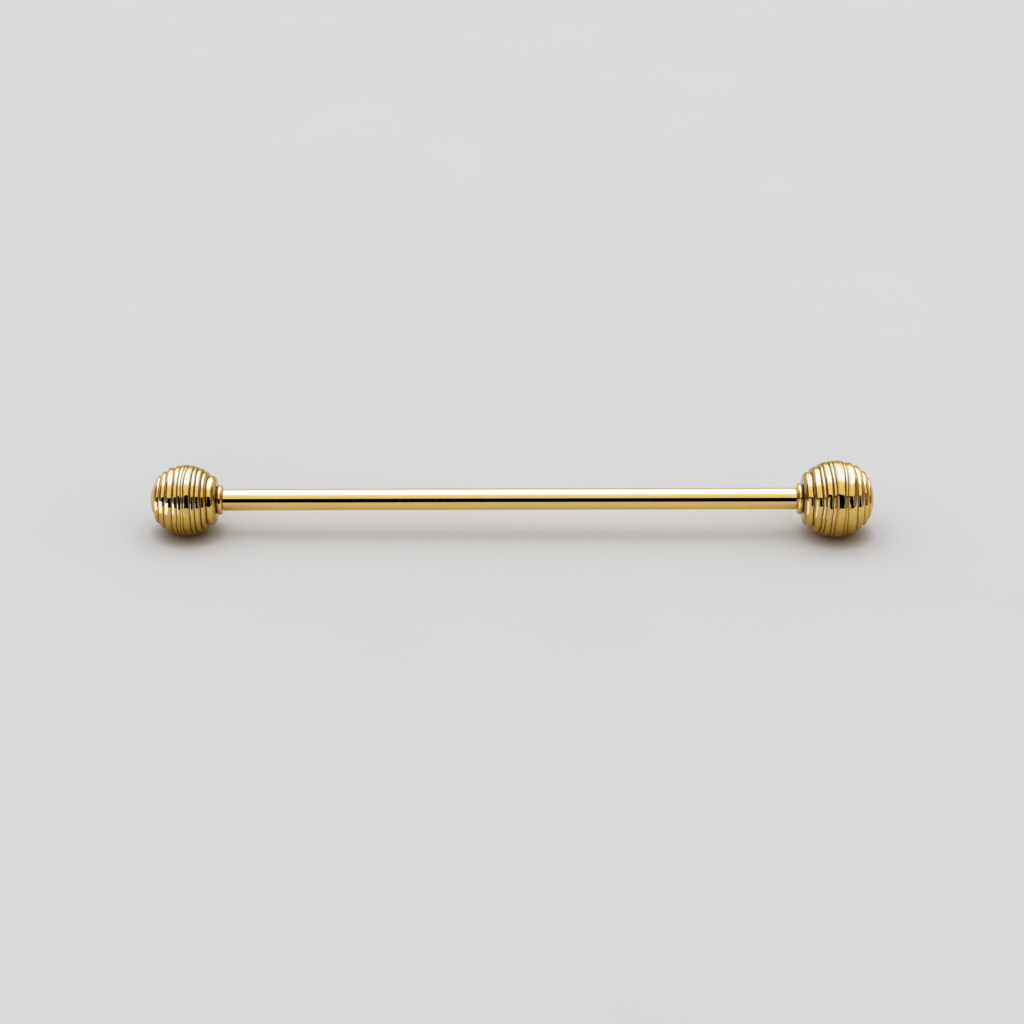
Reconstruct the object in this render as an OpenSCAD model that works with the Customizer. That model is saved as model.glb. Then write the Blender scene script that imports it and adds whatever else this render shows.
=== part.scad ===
// Collar bar: a round rod with a ribbed ball at each end, one of which unscrews.
// Millimetres, with the bar along X and Z up.
// The origin is on the rod's axis at the middle of the overall length.

/* [Rod] */
// Diameter of the rod
rod_d = 1.8; // [1.6:0.05:2.2]
// Bare length of the rod between the two neck rings
grip_length = 47.6; // [40:0.1:60]
// Diameter of the tenon at the rod's fixed end
tenon_d = 1.3; // [1.1:0.05:1.5]
// How far the tenon goes into the fixed ball
tenon_depth = 3; // [2:0.1:3.8]
// Chamfer on the edges of the rod's two shoulders
shoulder_chamfer = 0.06; // [0.02:0.01:0.12]

/* [Balls] */
// Diameter of the fixed ball over its ribs
fixed_ball_d = 5.9; // [5.4:0.1:7.4]
// Diameter of the screw ball over its ribs
screw_ball_d = 6.4; // [5.8:0.1:7.4]
// Depth of the groove beside a wide rib
groove_depth = 0.08; // [0.04:0.01:0.12]
// Depth of the groove beside a narrow rib for each millimetre of its width
groove_slope = 0.25; // [0.1:0.05:0.4]
// How far a rib's crest leans towards the ball's middle, as a share of its half width at the pole
rib_lean = 0.6; // [0:0.1:0.8]
// Squareness of a rib's crown, where 2 is a plain ellipse
rib_power = 2.5; // [2:0.1:4]

/* [Neck rings] */
// Diameter of the fixed ball's neck ring
fixed_ring_d = 2.5; // [2.45:0.05:2.6]
// Diameter of the screw ball's neck ring
screw_ring_d = 2.6; // [2.45:0.05:2.8]
// Width of a neck ring along the bar
ring_width = 0.5; // [0.4:0.02:0.6]
// Diameter of the spigot that seats a neck ring in its ball
spigot_d = 2.2; // [2.1:0.02:2.3]
// Length of that spigot
spigot_length = 0.3; // [0.2:0.05:0.5]

/* [Thread] */
// Outer diameter of the stud's thread
thread_d = 1.4; // [1.2:0.05:1.4]
// Pitch of the thread
thread_pitch = 0.3; // [0.25:0.01:0.35]
// Depth of the thread from crest to root
thread_depth = 0.16; // [0.12:0.01:0.18]
// Full turns that hold the screw ball on
thread_turns = 8; // [6:1:9]
// Clearance between the two threads
thread_clearance = 0.035; // [0.025:0.005:0.05]
// How far the stud's plain shank goes into the rod
shank_length = 2.2; // [1.5:0.1:3]
// Length of the taper at the stud's tip
tip_length = 0.12; // [0.08:0.01:0.2]
// Drill room beyond the bush in the screw ball
drill_room = 0.3; // [0.2:0.05:0.5]

/* [Fits] */
// Gap all round a soldered or pressed joint
solder_gap = 0.015; // [0.01:0.005:0.03]

/* [Hidden] */
gold = [0.83, 0.66, 0.32];
brass = [0.72, 0.58, 0.30];
$fn = 96;

// Angle that each rib takes up round the ball's centre, from the pole to the mouth, in degrees.
// The first is the smooth cap, from the pole to its first groove.
fixed_ribs = [33, 13, 13, 15, 9, 6, 4, 11, 7, 10, 10, 19];
screw_ribs = [26, 10, 13, 13, 16, 4, 14, 5, 10, 5, 14, 18];
// Straight runs that make up the curve of one flank of a rib
rib_steps = 6;
// Sides of a thread round the axis, and rings of points along one pitch
thread_sides = 18;
thread_rings = 6;

eps = 0.01;
rod_r = rod_d / 2;
thread_r = thread_d / 2;
core_r = thread_r - thread_depth;
hold_length = thread_pitch * thread_turns;
bush_length = hold_length + tip_length;
stud_reach = ring_width + spigot_length + hold_length + tip_length;

fixed_length = ball_length(fixed_ball_d / 2, fixed_ribs);
screw_length = ball_length(screw_ball_d / 2, screw_ribs);
overall_length = fixed_length + ring_width + grip_length + ring_width + screw_length;

// Stations along X: the faces that the balls' mouths, the rings and the rod's two shoulders lie on
fixed_mouth_x = fixed_length - overall_length / 2;
grip_start_x = fixed_mouth_x + ring_width;
shoulder_x = grip_start_x + grip_length;
screw_mouth_x = shoulder_x + ring_width;

function total(list, count) = count == 0 ? 0 : list[count - 1] + total(list, count - 1);
function ball_length(r, ribs) = r * (1 - cos(total(ribs, len(ribs))));

// Height above the ball's centre of the edge on the pole's side of a rib
function edge_z(r, ribs, index) = r * cos(total(ribs, index));
function rib_width(r, ribs, index) = edge_z(r, ribs, index) - edge_z(r, ribs, index + 1);

// A rib's crest lies towards the ball's middle, so that its crown faces straight out from the bar
function crest_z(r, ribs, index) =
    let (middle = (edge_z(r, ribs, index) + edge_z(r, ribs, index + 1)) / 2)
        middle - rib_lean * rib_width(r, ribs, index) / 2 * middle / r;

// The cap has no crest of its own: its rim stands for it
function crest_r(r, ribs, index) =
    index == 0 ? r * sin(ribs[0]) : sqrt(pow(r, 2) - pow(crest_z(r, ribs, index), 2));

function groove_fall(r, ribs, index) =
    min(groove_depth, groove_slope * min(rib_width(r, ribs, index - 1), rib_width(r, ribs, index)));

// Distance from the bar's axis to the foot of the groove at an edge; the last edge is the mouth's rim
function foot_r(r, ribs, index) =
    index == len(ribs)
        ? r * sin(total(ribs, index))
        : min(crest_r(r, ribs, index - 1), crest_r(r, ribs, index)) - groove_fall(r, ribs, index);

// The smooth cap, as [distance from the bar's axis, height along it], rounded towards its first groove
function cap_points(r, ribs) = [
    for (step = [0 : rib_steps - 1])
        let (
            turn = 90 * step / rib_steps,
            angle = ribs[0] * sin(turn),
            fall = groove_fall(r, ribs, 1) * (1 - pow(cos(turn), 2 / rib_power))
        )
            [r * sin(angle) - fall, r * cos(angle)]
];

// One flank of a rib from its crest down to a foot, where turn goes from 0 at the crest to 90 at the foot
function flank_point(crest, foot, turn) =
    let (out = pow(cos(turn), 2 / rib_power), along = pow(sin(turn), 2 / rib_power))
        [foot[0] + (crest[0] - foot[0]) * out, crest[1] + (foot[1] - crest[1]) * along];

// A rib from its pole-side foot over its crest, without its other foot, which starts the next rib
function rib_points(r, ribs, index) =
    let (
        crest = [crest_r(r, ribs, index), crest_z(r, ribs, index)],
        pole_foot = [foot_r(r, ribs, index), edge_z(r, ribs, index)],
        neck_foot = [foot_r(r, ribs, index + 1), edge_z(r, ribs, index + 1)]
    )
        concat(
            [for (step = [rib_steps : -1 : 0]) flank_point(crest, pole_foot, 90 * step / rib_steps)],
            [for (step = [1 : rib_steps - 1]) flank_point(crest, neck_foot, 90 * step / rib_steps)]
        );

// Half outline of a ribbed ball about its centre, closed along the axis
function ball_outline(r, ribs) = concat(
    cap_points(r, ribs),
    [for (index = [1 : len(ribs) - 1]) each rib_points(r, ribs, index)],
    [for (out = [foot_r(r, ribs, len(ribs)), 0]) [out, edge_z(r, ribs, len(ribs))]]
);

// A ribbed ball that stands on its mouth, with its pole up
module ribbed_ball(d, ribs) {
    translate([0, 0, ball_length(d / 2, ribs) - d / 2])
        rotate_extrude()
            polygon(ball_outline(d / 2, ribs));
}

// Sets a piece that stands on z = 0 along the bar at x, pointing to +X, or to -X where flip is true
module along_bar(x, flip = false) {
    translate([x, 0, 0])
        rotate([0, flip ? -90 : 90, 0])
            children();
}

// A bore of diameter d that runs up from z = 0
module bore(d, depth) {
    translate([0, 0, -eps])
        cylinder(d = d, h = depth + eps);
}

// A neck ring whose round flange lies below z = 0 and whose spigot rises above it
module neck_ring(d, bore_d) {
    rim = ring_width / 2;
    spigot_r = spigot_d / 2 - solder_gap;
    rim_points = [
        for (angle = [-90 : 15 : 90])
            [d / 2 - rim + rim * cos(angle), rim * sin(angle) - rim]
    ];
    rotate_extrude()
        polygon(concat(
            [[bore_d / 2, -ring_width]],
            rim_points,
            [[spigot_r, 0], [spigot_r, spigot_length], [bore_d / 2, spigot_length]]
        ));
}

// Radius of the thread's wave at an angle and a height, between its root and its crest
function wave(angle, z) = thread_depth * (1 + cos(360 * z / thread_pitch - angle)) / 2;

// One closed ring of points whose radius is base plus share of the thread's wave
function thread_ring(z, base, share, side = 1) = [
    for (index = [0 : thread_sides - 1])
        let (angle = 360 * index / thread_sides, radius = base + share * wave(angle, z))
            [radius * cos(angle), radius * sin(angle), z]
];

// Skin over a stack of rings: capped at both ends, or closed on itself where loop is true
module ring_skin(rings, loop = false) {
    sides = len(rings[0]);
    count = len(rings);
    last = loop ? count - 1 : count - 2;
    walls = [
        for (row = [0 : last], index = [0 : sides - 1])
            let (
                low = row * sides,
                high = ((row + 1) % count) * sides,
                next = (index + 1) % sides
            )
                each [[low + index, high + index, high + next], [low + index, high + next, low + next]]
    ];
    caps = loop ? [] : [
        [for (index = [0 : sides - 1]) index],
        [for (index = [sides - 1 : -1 : 0]) (count - 1) * sides + index]
    ];
    polyhedron([for (ring = rings) each ring], concat(walls, caps));
}

// The stud's thread starts and ends over one pitch, and its tip narrows over tip_length
function stud_share(z) = max(0, min(1, z / thread_pitch, (stud_reach - z) / thread_pitch));

// A shoulder's chamfer, which widens from z = 0
module shoulder() {
    cylinder(r1 = rod_r - shoulder_chamfer, r2 = rod_r, h = shoulder_chamfer);
}

module rod() {
    color(gold)
        difference() {
            union() {
                along_bar(fixed_mouth_x - tenon_depth)
                    cylinder(d = tenon_d, h = tenon_depth + ring_width + shoulder_chamfer);
                along_bar(grip_start_x)
                    shoulder();
                along_bar(grip_start_x + shoulder_chamfer)
                    cylinder(r = rod_r, h = grip_length - 2 * shoulder_chamfer);
                along_bar(shoulder_x, flip = true)
                    shoulder();
            }
            along_bar(shoulder_x, flip = true)
                bore(2 * (core_r + solder_gap), shank_length);
        }
}

module threaded_stud() {
    step = thread_pitch / thread_rings;
    thread_heights = [for (z = [0 : step : stud_reach - tip_length]) z];
    color(gold)
        along_bar(shoulder_x)
            ring_skin(concat(
                [thread_ring(-shank_length, core_r, 0)],
                [for (z = thread_heights) thread_ring(z, core_r, stud_share(z))],
                [thread_ring(stud_reach, core_r - tip_length / 2, 0)]
            ));
}

module fixed_finial() {
    color(gold)
        along_bar(fixed_mouth_x, flip = true)
            difference() {
                ribbed_ball(fixed_ball_d, fixed_ribs);
                bore(spigot_d, spigot_length);
                bore(tenon_d + 2 * solder_gap, tenon_depth);
            }
}

module fixed_neck_ring() {
    color(gold)
        along_bar(fixed_mouth_x, flip = true)
            neck_ring(fixed_ring_d, tenon_d + 2 * solder_gap);
}

module screw_finial() {
    color(gold)
        along_bar(screw_mouth_x)
            difference() {
                ribbed_ball(screw_ball_d, screw_ribs);
                bore(spigot_d, spigot_length + bush_length + drill_room);
            }
}

module screw_neck_ring() {
    color(gold)
        along_bar(screw_mouth_x)
            neck_ring(screw_ring_d, thread_d + 2 * thread_clearance);
}

module threaded_bush() {
    step = thread_pitch / thread_rings;
    start = ring_width + spigot_length;
    outer_r = spigot_d / 2 - solder_gap;
    heights = [for (z = [start : step : start + bush_length]) z];
    base = core_r + thread_clearance;
    color(brass)
        along_bar(shoulder_x)
            ring_skin(concat(
                [thread_ring(start, outer_r, 0)],
                [thread_ring(start + bush_length, outer_r, 0)],
                [thread_ring(start + bush_length, base, 1)],
                [for (index = [len(heights) - 1 : -1 : 0]) if (heights[index] < start + bush_length - eps)
                    thread_ring(heights[index], base, 1)]
            ), loop = true);
}

rod();
threaded_stud();
fixed_finial();
fixed_neck_ring();
screw_finial();
screw_neck_ring();
threaded_bush();
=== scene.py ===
"""Looks of the collar bar: its ribbed balls, neck rings, rod and thread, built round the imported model."""

from math import cos, pi, radians, sin, sqrt

import bpy
from mathutils import Euler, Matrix, Quaternion, Vector, noise


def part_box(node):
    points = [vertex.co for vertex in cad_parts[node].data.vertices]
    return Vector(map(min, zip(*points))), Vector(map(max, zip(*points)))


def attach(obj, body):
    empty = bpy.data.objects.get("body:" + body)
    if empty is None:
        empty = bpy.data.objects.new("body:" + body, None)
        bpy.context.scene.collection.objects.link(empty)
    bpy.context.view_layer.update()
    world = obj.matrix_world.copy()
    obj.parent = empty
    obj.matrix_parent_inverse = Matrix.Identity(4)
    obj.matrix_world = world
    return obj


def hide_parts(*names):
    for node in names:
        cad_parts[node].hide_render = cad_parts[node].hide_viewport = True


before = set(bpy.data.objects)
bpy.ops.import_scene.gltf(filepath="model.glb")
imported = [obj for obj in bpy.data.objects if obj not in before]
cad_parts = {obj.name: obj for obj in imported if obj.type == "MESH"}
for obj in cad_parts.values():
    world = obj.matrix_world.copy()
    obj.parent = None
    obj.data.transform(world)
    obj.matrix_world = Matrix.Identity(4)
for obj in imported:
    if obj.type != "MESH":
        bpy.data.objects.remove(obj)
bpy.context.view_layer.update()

MM = 0.001

# Angle that each rib takes up round its ball's centre, from the outer pole to the mouth, in degrees.
# The first is the smooth cap.
FIXED_RIBS = (33, 13, 13, 15, 9, 6, 4, 11, 7, 10, 10, 19)
SCREW_RIBS = (26, 10, 13, 13, 16, 4, 14, 5, 10, 5, 14, 18)

# Depth of a groove, and the most of it as a share of the narrower rib beside it
GROOVE_DEPTH = 0.08 * MM
GROOVE_SLOPE = 0.25
# How far a crest lies towards the ball's middle, as a share of half its rib
RIB_LEAN = 0.6
# Power of a rib's outline, where 2 would be an ellipse
RIB_POWER = 2.5
RIB_STEPS = 12
CAP_STEPS = 16
LATHE_SIDES = 176

# How soon the painted shade of a groove starts on the cap and on each side of a rib, as a power:
# a higher one keeps it nearer the foot
CAP_SHADE = 2.0
POLE_SIDE_SHADE = 5.0
NECK_SIDE_SHADE = 2.2
# Share of the painted shade at a corner between two pieces, and inside a ring's bore
RIM_SHADE = 0.6
BORE_SHADE = 0.5

# How far the ribs of a hand-finished ball stray from true circles, as a turn round its centre and inwards
RIB_WANDER = radians(3.4)
RIB_YAW = radians(2.5)
RIB_DIP = 0.05 * MM
WANDER_SCALE = Vector((0.8, 0.38, 0.38)) / MM
DIP_SCALE = Vector((2.6, 1.3, 1.3)) / MM
# Only the skin strays, and less near the pole and the mouth: shares of the ball's radius from its centre
# and from the axis between which the stray sets in, and its reach from the mouth
SKIN_FADE = (0.90, 0.95)
POLE_FADE = (0.2, 0.8)
MOUTH_FADE = 0.5 * MM
# Seeds for the wander of the two balls
FIXED_SEED = 12
SCREW_SEED = 3

# Rod, rings and fits
TENON_R = 0.65 * MM
TENON_CHAMFER = 0.1 * MM
SHOULDER_CHAMFER = 0.06 * MM
SPIGOT_R = 1.1 * MM
SOLDER_GAP = 0.015 * MM
TENON_BORE_R = TENON_R + SOLDER_GAP
RIM_STEPS = 16

# Rounding of sharp edges: its reach, the most that it takes of a side, and the corner that it leaves alone
EDGE_BLEND = 0.02 * MM
EDGE_SHARE = 0.4
EDGE_STEPS = 4
BLUNT_CORNER = radians(20)
SAME_POINT = 1e-6 * MM
# A side longer than so many reaches gets a row of points that keeps it flat, just past the rounding
GUARD_ROOM = 4
GUARD_PLACE = 1.5

# Thread, a metric one of 1.4 by 0.3 millimetres; its flats are shares of the pitch
THREAD_R = 0.7 * MM
THREAD_DEPTH = 0.16 * MM
THREAD_PITCH = 0.3 * MM
THREAD_CLEARANCE = 0.035 * MM
CREST_FLAT = 1 / 8
ROOT_FLAT = 1 / 4
SHANK_LENGTH = 2.2 * MM
TIP_LENGTH = 0.12 * MM
DRILL_ROOM = 0.3 * MM
CORE_R = THREAD_R - THREAD_DEPTH
THREAD_SIDES = 72
THREAD_RINGS = 16

# Stations along the bar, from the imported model
fixed_low, fixed_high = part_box("fixed_finial")
screw_low, screw_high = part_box("screw_finial")
rod_low, rod_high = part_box("rod")
fixed_ring_low, fixed_ring_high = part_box("fixed_neck_ring")
screw_ring_low, screw_ring_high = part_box("screw_neck_ring")
stud_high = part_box("threaded_stud")[1]
bush_low, bush_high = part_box("threaded_bush")
fixed_mouth_x = fixed_high.x
screw_mouth_x = screw_low.x
shoulder_x = rod_high.x
rod_r = rod_high.z


# Meshes: every piece is a stack of rings of points, and a ring of one point closes an end

def skin(name, rings, loop=False, shades=None):
    """A closed mesh over a stack of rings; with loop its last ring joins its first."""
    points = []
    starts = []
    for ring in rings:
        starts.append(len(points))
        points.extend(ring)
    faces = []
    for low in range(len(rings) if loop else len(rings) - 1):
        high = (low + 1) % len(rings)
        low_count = len(rings[low])
        high_count = len(rings[high])
        sides = max(low_count, high_count)
        for side in range(sides):
            after = (side + 1) % sides
            face = [starts[low] + side % low_count]
            if low_count > 1:
                face.append(starts[low] + after)
            if high_count > 1:
                face.append(starts[high] + after)
            face.append(starts[high] + side % high_count)
            faces.append(face)
    mesh = bpy.data.meshes.new(name)
    mesh.from_pydata(points, [], faces)
    mesh.validate()
    mesh.shade_smooth()
    # The groove attribute holds each ring's share of painted shade
    if shades:
        groove = mesh.attributes.new("groove", "FLOAT", "POINT")
        groove.data.foreach_set("value", [shade for ring, shade in zip(rings, shades) for _ in ring])
    piece = bpy.data.objects.new(name, mesh)
    bpy.context.scene.collection.objects.link(piece)
    return piece


def ring_at(x, radius):
    """A ring of points round the bar's axis, or the one point where its radius is 0."""
    if radius <= 0:
        return [Vector((x, 0, 0))]
    turns = [2 * pi * side / LATHE_SIDES for side in range(LATHE_SIDES)]
    return [Vector((x, radius * cos(turn), radius * sin(turn))) for turn in turns]


def softened(rows, loop=False):
    """Rounds each sharp corner of an outline of (x, radius, shade) rows, and keeps its sides flat."""
    result = []
    count = len(rows)
    for index, row in enumerate(rows):
        if index in (0, count - 1) and not loop:
            result.append(row)
            continue
        here = Vector(row[:2])
        before = Vector(rows[index - 1][:2]) - here
        after = Vector(rows[(index + 1) % count][:2]) - here
        if min(before.length, after.length) < SAME_POINT or before.angle(-after) < BLUNT_CORNER:
            result.append(row)
            continue
        reach = min(EDGE_BLEND, EDGE_SHARE * before.length, EDGE_SHARE * after.length)
        start = before.normalized() * reach
        end = after.normalized() * reach
        if before.length > GUARD_ROOM * reach:
            result.append((*(here + GUARD_PLACE * start), row[2]))
        for step in range(EDGE_STEPS + 1):
            share = step / EDGE_STEPS
            point = here + start * (1 - share) ** 2 + end * share ** 2
            result.append((*point, row[2]))
        if after.length > GUARD_ROOM * reach:
            result.append((*(here + GUARD_PLACE * end), row[2]))
    return result


def lathe(name, rows, loop=False):
    """A body of revolution about the bar's axis from an outline of (x, radius, shade) rows."""
    rows = softened(rows, loop)
    rings = [ring_at(x, radius) for x, radius, _ in rows]
    return skin(name, rings, loop, [shade for _, _, shade in rows])


def smooth_step(low, high, value):
    """A rise from 0 to 1 between two values, level at both ends."""
    share = min(1, max(0, (value - low) / (high - low)))
    return share * share * (3 - 2 * share)


# Ribbed balls: heights are above a ball's centre, towards its outer pole

def edge_height(r, ribs, index):
    """Height of the edge where a rib starts; the first, of the cap, is the pole."""
    return r * cos(radians(sum(ribs[:index])))


def rib_width(r, ribs, index):
    """Height that a rib takes up between its two edges."""
    return edge_height(r, ribs, index) - edge_height(r, ribs, index + 1)


def crest(r, ribs, index):
    """(radius, height) of a rib's crest, a little towards the ball's middle, or of the cap's rim."""
    if index == 0:
        return r * sin(radians(ribs[0])), edge_height(r, ribs, 1)
    middle = (edge_height(r, ribs, index) + edge_height(r, ribs, index + 1)) / 2
    height = middle - RIB_LEAN * rib_width(r, ribs, index) / 2 * middle / r
    return sqrt(r ** 2 - height ** 2), height


def groove_fall(r, ribs, index):
    """Depth of the groove at an edge, which is less beside a narrow rib."""
    return min(GROOVE_DEPTH, GROOVE_SLOPE * min(rib_width(r, ribs, index - 1), rib_width(r, ribs, index)))


def foot(r, ribs, index):
    """(radius, height) of the foot of the groove at an edge; the last edge is the mouth's rim."""
    height = edge_height(r, ribs, index)
    if index == len(ribs):
        return r * sin(radians(sum(ribs))), height
    return min(crest(r, ribs, index - 1)[0], crest(r, ribs, index)[0]) - groove_fall(r, ribs, index), height


def ball_outline(r, ribs):
    """(height, radius, shade) rows from the pole to the mouth's rim, with shade 1 at a groove's foot."""
    rows = []
    fall = groove_fall(r, ribs, 1)
    for step in range(CAP_STEPS):
        turn = pi / 2 * step / CAP_STEPS
        angle = radians(ribs[0]) * sin(turn)
        drop = 1 - cos(turn) ** (2 / RIB_POWER)
        rows.append((r * cos(angle), max(0, r * sin(angle) - fall * drop), drop ** CAP_SHADE))
    for index in range(1, len(ribs)):
        crown = crest(r, ribs, index)
        flanks = (
            (foot(r, ribs, index), range(RIB_STEPS, -1, -1), POLE_SIDE_SHADE),
            (foot(r, ribs, index + 1), range(1, RIB_STEPS), NECK_SIDE_SHADE),
        )
        for base, steps, shade in flanks:
            for step in steps:
                turn = pi / 2 * step / RIB_STEPS
                out = cos(turn) ** (2 / RIB_POWER) if step < RIB_STEPS else 0
                along = sin(turn) ** (2 / RIB_POWER) if step else 0
                radius = base[0] + (crown[0] - base[0]) * out
                rows.append((crown[1] + (base[1] - crown[1]) * along, radius, along ** shade))
    radius, height = foot(r, ribs, len(ribs))
    return rows + [(height, radius, RIM_SHADE)]


def ribbed_ball(name, pole_x, mouth_x, ribs, bore_rows, seed):
    """A ball from its pole to its mouth, with a bore given as (depth from the mouth, radius) rows."""
    out = 1 if pole_x > mouth_x else -1
    r = abs(mouth_x - pole_x) / (1 - cos(radians(sum(ribs))))
    centre_x = pole_x - out * r
    rows = [(centre_x + out * height, radius, shade) for height, radius, shade in ball_outline(r, ribs)]
    rows += [(mouth_x + out * depth, radius, 1) for depth, radius in bore_rows]
    ball = lathe(name, rows)
    finish_by_hand(ball, Vector((centre_x, 0, 0)), r, mouth_x, out, seed)
    return ball


def finish_by_hand(ball, centre, r, mouth_x, out, seed):
    """Lets a ball's ribs stray from true circles, less and less towards its pole, mouth and bore."""
    noise.seed_set(seed)
    for vertex in ball.data.vertices:
        arm = vertex.co - centre
        near_skin = smooth_step(*SKIN_FADE, arm.length / r)
        off_mouth = smooth_step(0, MOUTH_FADE, abs(vertex.co.x - mouth_x))
        off_axis = sqrt(vertex.co.y ** 2 + vertex.co.z ** 2)
        share = near_skin * off_mouth * smooth_step(*POLE_FADE, off_axis / r)
        stray = noise.noise_vector(vertex.co * WANDER_SCALE)
        turn = Euler((0, RIB_WANDER * share * stray.x, share * (RIB_WANDER * stray.y + RIB_YAW * out)))
        arm.rotate(turn)
        dip = (1 + noise.noise(vertex.co * DIP_SCALE)) / 2
        vertex.co = centre + arm * (1 - RIB_DIP / r * share * dip)


def make_fixed_ball():
    """The ball at the fixed end, bored for its ring's spigot and, deeper, for the rod's tenon."""
    spigot = fixed_mouth_x - fixed_ring_low.x
    tenon = fixed_mouth_x - rod_low.x
    bore = ((0, SPIGOT_R), (spigot, SPIGOT_R), (spigot, TENON_BORE_R), (tenon, TENON_BORE_R), (tenon, 0))
    return ribbed_ball("fixed_ball", fixed_low.x, fixed_mouth_x, FIXED_RIBS, bore, FIXED_SEED)


def make_screw_ball():
    """The ball at the screw end, bored for its ring's spigot and for the bush behind it."""
    depth = bush_high.x - screw_mouth_x + DRILL_ROOM
    bore = ((0, SPIGOT_R), (depth, SPIGOT_R), (depth, 0))
    return ribbed_ball("screw_ball", screw_high.x, screw_mouth_x, SCREW_RIBS, bore, SCREW_SEED)


# Neck rings and rod

def neck_ring(name, mouth_x, face_x, spigot_x, ring_r, bore_r):
    """A ring with a round rim from the ball's mouth to its free face, and a spigot into the ball."""
    out = 1 if face_x > mouth_x else -1
    rim = abs(face_x - mouth_x) / 2
    spigot_r = SPIGOT_R - SOLDER_GAP
    rows = [(face_x, bore_r, BORE_SHADE)]
    for step in range(RIM_STEPS + 1):
        angle = pi / 2 - pi * step / RIM_STEPS
        rows.append((mouth_x + out * rim * (1 + sin(angle)), ring_r - rim + rim * cos(angle), 0))
    rows += [(mouth_x, spigot_r, 1), (spigot_x, spigot_r, 1), (spigot_x, bore_r, 1)]
    return lathe(name, rows, loop=True)


def make_fixed_ring():
    """The ring soldered between the fixed ball and the rod, round the rod's tenon."""
    return neck_ring(
        "fixed_ring",
        mouth_x=fixed_mouth_x,
        face_x=fixed_ring_high.x,
        spigot_x=fixed_ring_low.x,
        ring_r=fixed_ring_high.z,
        bore_r=TENON_BORE_R,
    )


def make_screw_ring():
    """The ring soldered to the screw ball, open for the stud."""
    return neck_ring(
        "screw_ring",
        mouth_x=screw_mouth_x,
        face_x=screw_ring_low.x,
        spigot_x=screw_ring_high.x,
        ring_r=screw_ring_high.z,
        bore_r=THREAD_R + THREAD_CLEARANCE,
    )


def make_rod():
    """The plain rod with its tenon at the fixed end, and drilled for the stud's shank at the screw end."""
    hole_r = CORE_R + SOLDER_GAP
    face_x = fixed_ring_high.x
    rows = [
        (rod_low.x, 0, 1),
        (rod_low.x, TENON_R - TENON_CHAMFER, 1),
        (rod_low.x + TENON_CHAMFER, TENON_R, 1),
        (face_x, TENON_R, 1),
        (face_x, rod_r - SHOULDER_CHAMFER, RIM_SHADE),
        (face_x + SHOULDER_CHAMFER, rod_r, 0),
        (shoulder_x - SHOULDER_CHAMFER, rod_r, 0),
        (shoulder_x, rod_r - SHOULDER_CHAMFER, RIM_SHADE),
        (shoulder_x, hole_r, RIM_SHADE),
        (shoulder_x - SHANK_LENGTH, hole_r, 1),
        (shoulder_x - SHANK_LENGTH, 0, 1),
    ]
    return lathe("rod_skin", rows)


# Thread

def thread_height(turns):
    """Share of the thread's depth, from 0 at the root to 1 at the crest, at a number of turns along it."""
    off_crest = abs((turns + 0.5) % 1 - 0.5)
    flank = (1 - CREST_FLAT - ROOT_FLAT) / 2
    return 1 - smooth_step(0, 1, (off_crest - CREST_FLAT / 2) / flank)


def thread_ring(x, base, share):
    """A ring of points on the skin of the right-handed thread that starts at the rod's shoulder."""
    ring = []
    for side in range(THREAD_SIDES):
        turn = side / THREAD_SIDES
        radius = base + share * THREAD_DEPTH * thread_height((x - shoulder_x) / THREAD_PITCH - turn)
        # The thread's zero lies on -Z, and it turns towards +Y
        ring.append(Vector((x, radius * sin(2 * pi * turn), -radius * cos(2 * pi * turn))))
    return ring


def make_stud():
    """A plain shank in the drilled rod, and a thread that rises over its first turn and fades at the tip."""
    rows = [(shoulder_x - SHANK_LENGTH, 0, 0), (shoulder_x - SHANK_LENGTH, CORE_R, 0)]
    end_x = stud_high.x - TIP_LENGTH
    count = round((end_x - shoulder_x) / THREAD_PITCH * THREAD_RINGS)
    for index in range(count + 1):
        x = shoulder_x + (end_x - shoulder_x) * index / count
        share = min(1, (x - shoulder_x) / THREAD_PITCH, (stud_high.x - x) / THREAD_PITCH)
        rows.append((x, CORE_R, max(0, share)))
    rows += [(stud_high.x, CORE_R - TIP_LENGTH / 2, 0), (stud_high.x, 0, 0)]
    rings = [thread_ring(x, base, share) if base else [Vector((x, 0, 0))] for x, base, share in rows]
    return skin("stud", rings)


def make_bush():
    """A plain tube with the female thread all through it."""
    outer_r = SPIGOT_R - SOLDER_GAP
    length = bush_high.x - bush_low.x
    count = round(length / THREAD_PITCH * THREAD_RINGS)
    rings = [thread_ring(bush_low.x, outer_r, 0), thread_ring(bush_high.x, outer_r, 0)]
    for index in range(count + 1):
        rings.append(thread_ring(bush_high.x - length * index / count, CORE_R + THREAD_CLEARANCE, 1))
    return skin("bush", rings, loop=True)


# Materials

# Noise in the metals and the floor: features in a millimetre along each axis, detail and roughness
LINE_NOISE = ((9.0, 0.35, 0.35), 4.0, 0.6)
DRIFT_NOISE = ((0.8, 0.6, 0.6), 2.0, 0.5)
SCUFF_NOISE = ((2.0, 3.0, 3.0), 5.0, 0.65)
MOTTLE_NOISE = ((0.03, 0.03, 0.03), 5.0, 0.6)
# Values between which such noise mostly lies
NOISE_LOW = 0.3
NOISE_HIGH = 0.7
# Factor on the roughness from the least to the most scuffed place
SCUFF_RANGE = (0.8, 1.5)
# Groove value at which the painted shade starts, and the share of its dark colour at a groove's foot
PAINTED_SHADE_START = 0.1
PAINTED_SHADE_MOST = 0.85


def add(tree, kind, **values):
    """A node with its settings and its inputs' values by name; an underscore stands for a space."""
    node = tree.nodes.new(kind)
    for key, value in values.items():
        socket = node.inputs.get(key.replace("_", " "))
        if socket is not None:
            if isinstance(value, bpy.types.NodeSocket):
                tree.links.new(value, socket)
            else:
                socket.default_value = value
        else:
            setattr(node, key, value)
    return node


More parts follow.
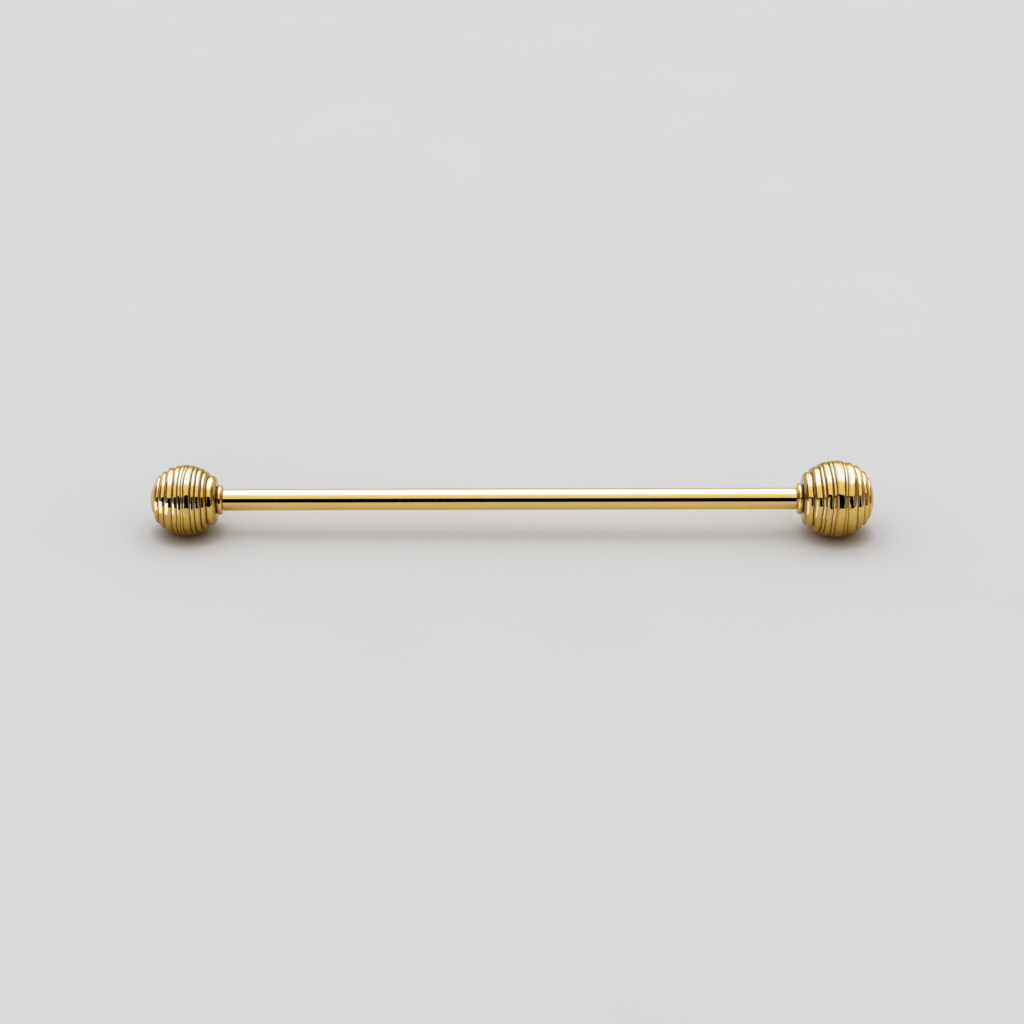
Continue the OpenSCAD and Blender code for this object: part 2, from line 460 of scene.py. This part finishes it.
def fill(tree, node, values):
    """Links or sets a node's inputs by number, for the nodes whose inputs share a name."""
    for index, value in values.items():
        if isinstance(value, bpy.types.NodeSocket):
            tree.links.new(value, node.inputs[index])
        else:
            node.inputs[index].default_value = value
    return node


def new_material(name):
    """A material without nodes, and its tree."""
    material = bpy.data.materials.new(name)
    material.use_nodes = True
    material.node_tree.nodes.clear()
    return material, material.node_tree


def computed(tree, operation, first, second):
    """The result of a math operation on two numbers."""
    node = add(tree, "ShaderNodeMath", operation=operation)
    return fill(tree, node, {0: first, 1: second}).outputs[0]


def mixed(tree, factor, first, second, blend="MIX"):
    """A mix of two colours; the colours are the node's sockets 6 and 7, and their mix is its output 2."""
    node = add(tree, "ShaderNodeMix", data_type="RGBA", blend_type=blend)
    return fill(tree, node, {0: factor, 6: first, 7: second}).outputs[2]


def ranged(tree, value, low, high, from_low=NOISE_LOW, from_high=NOISE_HIGH):
    """The value carried over from one range to another, and held within it."""
    node = add(tree, "ShaderNodeMapRange", Value=value, To_Min=low, To_Max=high)
    node.inputs["From Min"].default_value = from_low
    node.inputs["From Max"].default_value = from_high
    return node.outputs["Result"]


def attribute(tree, name):
    """The value that a mesh holds under a name."""
    return add(tree, "ShaderNodeAttribute", attribute_name=name).outputs["Fac"]


def points_in_mm(tree):
    """The surface's own points, in millimetres."""
    place = add(tree, "ShaderNodeTexCoord").outputs["Object"]
    node = add(tree, "ShaderNodeVectorMath", operation="SCALE", Scale=1 / MM)
    return fill(tree, node, {0: place}).outputs[0]


def scaled_noise(tree, points, scale, detail, roughness):
    """Noise over points, with so many features in a unit along each axis."""
    node = add(tree, "ShaderNodeVectorMath", operation="MULTIPLY")
    scaled = fill(tree, node, {0: points, 1: scale}).outputs[0]
    texture = add(tree, "ShaderNodeTexNoise", Vector=scaled, Scale=1.0, Detail=detail, Roughness=roughness)
    return texture.outputs["Fac"]


def turned_metal(name, light, deep, painted_shade, smooth, rough, line_depth):
    """Polished or turned metal with fine lines round the bar, a faint change of colour, and painted shade
    that darkens its grooves and corners.
    """
    material, tree = new_material(name)
    points = points_in_mm(tree)
    lines = scaled_noise(tree, points, *LINE_NOISE)
    drift = scaled_noise(tree, points, *DRIFT_NOISE)
    scuffs = scaled_noise(tree, points, *SCUFF_NOISE)
    clean = mixed(tree, ranged(tree, drift, 0, 1), light, deep)
    # Painted shade: the groove attribute darkens grooves, flanks and corners, where shade falls
    dark = ranged(tree, attribute(tree, "groove"), 0, PAINTED_SHADE_MOST, PAINTED_SHADE_START, 1)
    colour = mixed(tree, dark, clean, painted_shade)
    polish = ranged(tree, lines, smooth, rough)
    worn = computed(tree, "MULTIPLY", polish, ranged(tree, scuffs, *SCUFF_RANGE))
    bump = add(tree, "ShaderNodeBump", Strength=1.0, Distance=line_depth, Height=lines)
    shader = add(tree, "ShaderNodeBsdfPrincipled", Base_Color=colour, Metallic=1.0, Roughness=worn,
                 Normal=bump.outputs[0])
    add(tree, "ShaderNodeOutputMaterial", Surface=shader.outputs[0])
    return material


def drawn_gold():
    """Gold plate on the drawn rod: the smoothest of the metals."""
    return turned_metal(
        "drawn_gold",
        light=(0.91, 0.645, 0.215, 1),
        deep=(0.895, 0.62, 0.195, 1),
        # Dark painted shade for the rod's shoulders
        painted_shade=(0.50, 0.30, 0.07, 1),
        smooth=0.03,
        rough=0.06,
        line_depth=0.0003 * MM,
    )


def cast_gold():
    """Gold plate on the cast balls and rings, with brown painted shade in the grooves."""
    return turned_metal(
        "cast_gold",
        light=(0.885, 0.595, 0.165, 1),
        deep=(0.84, 0.545, 0.140, 1),
        # Brown painted shade for the grooves, flanks and the gap at the rings
        painted_shade=(0.26, 0.13, 0.018, 1),
        smooth=0.03,
        rough=0.09,
        line_depth=0.0013 * MM,
    )


def threaded_gold():
    """Gold plate on the cut thread of the stud, which is duller."""
    return turned_metal(
        "threaded_gold",
        light=(0.86, 0.62, 0.23, 1),
        deep=(0.82, 0.58, 0.20, 1),
        # Painted shade colour for grooves; the stud's mesh holds no groove values, so it stays unused
        painted_shade=(0.42, 0.26, 0.08, 1),
        smooth=0.12,
        rough=0.22,
        line_depth=0.0015 * MM,
    )


def machined_brass():
    """Plain machined brass of the bush."""
    return turned_metal(
        "machined_brass",
        light=(0.80, 0.60, 0.28, 1),
        deep=(0.72, 0.52, 0.22, 1),
        # Painted shade colour for grooves; the bush's mesh holds no groove values, so it stays unused
        painted_shade=(0.3, 0.2, 0.08, 1),
        smooth=0.18,
        rough=0.32,
        line_depth=0.0015 * MM,
    )


def floor_material(feet):
    """Plain pale board with the faintest mottling, and a warm painted shadow round each ball's foot, for its
    contact shadow and the gold's bounce light.
    """
    material, tree = new_material("pale_board")
    points = points_in_mm(tree)
    mottle = scaled_noise(tree, points, *MOTTLE_NOISE)
    colour = mixed(tree, ranged(tree, mottle, 0, 1), FLOOR_LIGHT, FLOOR_DEEP)
    for foot_point in feet:
        node = add(tree, "ShaderNodeVectorMath", operation="DISTANCE")
        reach = fill(tree, node, {0: points, 1: foot_point / MM}).outputs["Value"]
        # Painted contact shadow with warm bounce light, darkest at each ball's foot
        painted_shadow = ranged(tree, reach, 1, 0, PAINTED_SHADOW_START, PAINTED_SHADOW_END)
        colour = mixed(tree, painted_shadow, colour, PAINTED_FOOT_SHADOW, "MULTIPLY")
    shader = add(tree, "ShaderNodeBsdfPrincipled", Base_Color=colour, Roughness=FLOOR_ROUGHNESS)
    shader.inputs["Specular IOR Level"].default_value = FLOOR_SPECULAR
    add(tree, "ShaderNodeOutputMaterial", Surface=shader.outputs[0])
    return material


def toned(tree, glow, low_power, high_power):
    """The glow to one power below 1 and to another, lower one above it."""
    below = computed(tree, "POWER", glow, low_power)
    above = computed(tree, "POWER", glow, high_power)
    return computed(tree, "MINIMUM", below, above)


def glow_material():
    """Light from the front of a card, as strong and as clear as its attributes say; its back is clear."""
    material, tree = new_material("card_glow")
    glow = attribute(tree, "glow")
    red, green, blue = [toned(tree, glow, *powers) for powers in GLOW_POWERS]
    colour = add(tree, "ShaderNodeCombineColor", Red=red, Green=green, Blue=blue).outputs[0]
    front = add(tree, "ShaderNodeEmission", Color=colour).outputs[0]
    back = add(tree, "ShaderNodeBsdfTransparent").outputs[0]
    backfacing = add(tree, "ShaderNodeNewGeometry").outputs["Backfacing"]
    clear = computed(tree, "MAXIMUM", backfacing, attribute(tree, "clear"))
    shader = fill(tree, add(tree, "ShaderNodeMixShader"), {0: clear, 1: front, 2: back})
    add(tree, "ShaderNodeOutputMaterial", Surface=shader.outputs[0])
    return material


# Stage: a floor, a grey surround, a soft lamp above, and cards that only polished metal reflects

FLOOR_LIGHT = (0.705, 0.705, 0.707, 1)
FLOOR_DEEP = (0.690, 0.690, 0.693, 1)
FLOOR_ROUGHNESS = 0.6
FLOOR_SPECULAR = 0.0
FLOOR_HALF = 3.0
# Painted shadow on the floor at a ball's foot, warm like the gold's bounce light, and the distances in
# millimetres between which it fades
PAINTED_FOOT_SHADOW = (0.40, 0.29, 0.16, 1)
PAINTED_SHADOW_START = 1.15
PAINTED_SHADOW_END = 3.3
SURROUND = 0.825
LAMP_POWER = 1.5
LAMP_PLACE = Vector((0, 0.15, 0.8))
LAMP_SIZE = (0.8, 0.64)

# Radius of the roof, and the lengths of the roof and the flag to each side
CARD_DISTANCE = 0.5
CARD_HALF_LENGTH = 0.33
FLAG_HALF_LENGTH = 0.23
# The dim cards at the two ends: their distance, top and reach from front to back
END_DISTANCE = 0.335
END_TOP = 0.5
END_WIDTH = (-0.5, 0.12)
# Glow of the one beyond the fixed ball and of the one beyond the screw ball
FIRST_END_GLOW = 0.15
SECOND_END_GLOW = 0.22
# Where the flag starts in front of the bar, and the gap under the cards on the floor
STRIP_START = 42 * MM
STRIP_LIFT = 0.02 * MM
# Glow of the roof over the bar, by its angle in degrees from the horizon on the camera's side
ROOF_GLOW = ((36.5, 0.88), (62, 0.94), (75, 1.2), (81, 4.0), (89, 5.2), (128, 5.2), (140, 3.6), (150, 2.8),
             (157, 1.3), (164, 0.6), (180, 0.35))
# Powers for the red, green and blue of a glow below and above 1: gold reflects a strong glow as white,
# because a photo holds back what would burn out, and a weak one as a warm shade
GLOW_POWERS = ((1.0, 0.08), (1.14, 0.31), (1.6, 1.0))
# Glow and clearness of the shade round a ball's foot, by its distance in millimetres
SHADE_GLOW = ((0.0, 0.04, 0), (1.5, 0.12, 0), (2.2, 0.20, 0), (2.9, 0.34, 0), (4.7, 0.52, 0.3),
              (8.3, 0.60, 0.8), (14.0, 0.66, 1))
SHADE_SIDES = 32
# Cards that stand on the floor beside the balls: a path of (x, y, top) points in millimetres, and the glow
STANDING_CARDS = (
    (((-29.5, -7.3, 2.2), (-40, -7.3, 2.2)), 4.6),
    (((-33.2, -5.2, 0.9), (-34.4, -3.2, 0.9), (-34.9, -1.2, 0.9)), 4.6),
    (((21.8, -6.0, 1.6), (21.8, -3.0, 1.0)), 4.6),
    (((21.6, -70, 42), (21.6, -3.0, 1.2)), 0.72),
)


def floor(floor_height, feet):
    """A large plane that both balls stand on."""
    sides = (-FLOOR_HALF, FLOOR_HALF)
    corners = [(x, y, floor_height(x)) for y in sides for x in sides]
    mesh = bpy.data.meshes.new("floor")
    mesh.from_pydata(corners, [], [(0, 1, 3, 2)])
    plane = bpy.data.objects.new("floor", mesh)
    bpy.context.scene.collection.objects.link(plane)
    mesh.materials.append(floor_material(feet))


def card(name, columns, glows, material, clears=None):
    """A card from columns of points, with a glow and a clearness for each, that only glossy rays see."""
    points = [point for column in columns for point in column]
    rows = len(columns[0])
    faces = []
    for corner in range(len(points) - rows):
        if (corner + 1) % rows:
            faces.append((corner, corner + rows, corner + rows + 1, corner + 1))
    mesh = bpy.data.meshes.new(name)
    mesh.from_pydata(points, [], faces)
    for key, values in (("glow", glows), ("clear", clears or [0] * len(columns))):
        layer = mesh.attributes.new(key, "FLOAT", "POINT")
        layer.data.foreach_set("value", [value for value in values for _ in range(rows)])
    mesh.materials.append(material)
    plate = bpy.data.objects.new(name, mesh)
    bpy.context.scene.collection.objects.link(plate)
    plate.visible_camera = False
    plate.visible_diffuse = False
    plate.visible_shadow = False
    plate.visible_transmission = False


def on_roof(angle):
    """(y, z) on the roof's circle round the bar, at an angle in degrees from the horizon in front."""
    return -CARD_DISTANCE * cos(radians(angle)), CARD_DISTANCE * sin(radians(angle))


def roof(material):
    """The curved roof over the bar, with its bright zone."""
    sides = (-CARD_HALF_LENGTH, CARD_HALF_LENGTH)
    columns = [[(x, *on_roof(angle)) for x in sides] for angle, _ in ROOF_GLOW]
    card("roof_card", columns, [glow for _, glow in ROOF_GLOW], material)


def end_card(name, side, glow, floor_height, material):
    """A dim card that closes one end of the studio, so that the ribs' flanks turn dark."""
    x = side * END_DISTANCE
    columns = [[(x, y, floor_height(x)), (x, y, END_TOP)] for y in END_WIDTH]
    card(name, columns if side < 0 else columns[::-1], (glow, glow), material)


def front_flag(material, floor_height):
    """A black flag that lies on the floor in front of the bar and stands up behind the camera."""
    wall_y, wall_z = on_roof(ROOF_GLOW[0][0])
    sides = (-FLAG_HALF_LENGTH, FLAG_HALF_LENGTH)
    columns = [[(x, y, floor_height(x) + STRIP_LIFT) for x in sides] for y in (-STRIP_START, wall_y)]
    columns.append([(x, wall_y, wall_z) for x in sides])
    card("front_flag", columns, [0] * len(columns), material)


def shade_disc(name, under, floor_height, material):
    """The deep shade round a ball's foot, as its own ribs reflect it."""
    columns = []
    for reach, _, _ in SHADE_GLOW:
        column = []
        for side in range(SHADE_SIDES + 1):
            angle = 2 * pi * side / SHADE_SIDES
            x = under.x + reach * MM * cos(angle)
            column.append((x, under.y + reach * MM * sin(angle), floor_height(x) + STRIP_LIFT))
        columns.append(column)
    _, glows, clears = zip(*SHADE_GLOW)
    card(name, columns, glows, material, clears)


def standing_card(name, path, glow, floor_height, material):
    """A card that stands on the floor along a path of (x, y, top) points and faces to the right of it."""
    high = [Vector(point) * MM for point in reversed(path)]
    low = [(point.x, point.y, floor_height(point.x) + STRIP_LIFT) for point in high]
    card(name, (low, high), (glow, glow), material)


def surround():
    """Even, plain light from all sides."""
    world = bpy.data.worlds.new("surround")
    bpy.context.scene.world = world
    world.use_nodes = True
    background = world.node_tree.nodes["Background"]
    background.inputs["Color"].default_value = (1, 1, 1, 1)
    background.inputs["Strength"].default_value = SURROUND


def soft_lamp():
    """A wide lamp above the bar, for its soft shadow, that the metal doesn't reflect."""
    data = bpy.data.lights.new("soft_lamp", "AREA")
    data.shape = "RECTANGLE"
    data.size, data.size_y = LAMP_SIZE
    data.energy = LAMP_POWER
    lamp = bpy.data.objects.new("soft_lamp", data)
    bpy.context.scene.collection.objects.link(lamp)
    lamp.location = LAMP_PLACE
    lamp.rotation_euler = (-LAMP_PLACE).to_track_quat("-Z", "Y").to_euler()
    lamp.visible_glossy = False


def studio(first, second):
    """The stage under and round the bar, from the lowest points of its two balls."""
    slope = (second.z - first.z) / (second.x - first.x)

    def floor_height(x):
        return first.z + slope * (x - first.x)

    floor(floor_height, (first, second))
    surround()
    soft_lamp()
    glow = glow_material()
    roof(glow)
    front_flag(glow, floor_height)
    end_card("end_card_first", -1, FIRST_END_GLOW, floor_height, glow)
    end_card("end_card_second", 1, SECOND_END_GLOW, floor_height, glow)
    shade_disc("shade_first", first, floor_height, glow)
    shade_disc("shade_second", second, floor_height, glow)
    for index, (path, strength) in enumerate(STANDING_CARDS):
        standing_card(f"standing_card_{index}", path, strength, floor_height, glow)


# Camera: above the bar and square to it, with a slight roll and the bar just above the frame's middle

CAMERA_ELEVATION = radians(27)
CAMERA_DISTANCE = 212.6 * MM
CAMERA_LENS = 90
CAMERA_SENSOR = 36
CAMERA_ROLL = radians(-0.13)
CAMERA_CLIP = 10 * MM
# Where the bar's middle lies off the frame's middle, along the frame's width and height
BAR_ASIDE = 0.02 * MM
BAR_ABOVE = 1.059 * MM


def camera():
    """The camera at the photo's angle."""
    data = bpy.data.cameras.new("camera")
    data.lens = CAMERA_LENS
    data.sensor_width = CAMERA_SENSOR
    data.clip_start = CAMERA_CLIP
    eye = bpy.data.objects.new("camera", data)
    bpy.context.scene.collection.objects.link(eye)
    back = Vector((0, -cos(CAMERA_ELEVATION), sin(CAMERA_ELEVATION)))
    up = Vector((0, sin(CAMERA_ELEVATION), cos(CAMERA_ELEVATION)))
    target = -BAR_ASIDE * Vector((1, 0, 0)) - BAR_ABOVE * up
    eye.location = target + CAMERA_DISTANCE * back
    eye.rotation_euler = (Quaternion(back, CAMERA_ROLL) @ (-back).to_track_quat("-Z", "Y")).to_euler()
    bpy.context.scene.camera = eye


# Pieces and their places on the bar's bodies

def dress(piece, material, body, slot, *nodes):
    """Gives a piece its material and its place: the body it rides and the nodes it replaces; the slot is not
    used.
    """
    piece.data.materials.append(material)
    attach(piece, body)
    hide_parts(*nodes)


def lowest(piece):
    """The lowest point of a piece's mesh, where it stands on the floor."""
    return min((vertex.co for vertex in piece.data.vertices), key=lambda point: point.z).copy()


gold = drawn_gold()
deep_gold = cast_gold()
stud_gold = threaded_gold()
brass = machined_brass()

fixed_ball = make_fixed_ball()
screw_ball = make_screw_ball()
fixed_ring = make_fixed_ring()
screw_ring = make_screw_ring()
rod = make_rod()
stud = make_stud()
bush = make_bush()

dress(fixed_ball, deep_gold, "bar", "gold_plate", "fixed_finial")
dress(fixed_ring, deep_gold, "bar", "gold_plate", "fixed_neck_ring")
dress(rod, gold, "bar", "gold_plate", "rod")
dress(stud, stud_gold, "bar", "gold_plate", "threaded_stud")
dress(screw_ring, deep_gold, "screw_ring", "gold_plate", "screw_neck_ring")
dress(screw_ball, deep_gold, "screw_ball", "gold_plate", "screw_finial")
dress(bush, brass, "screw_ball", "bush_brass", "threaded_bush")

studio(lowest(fixed_ball), lowest(screw_ball))
camera()
bpy.context.scene.view_settings.view_transform = "Standard"
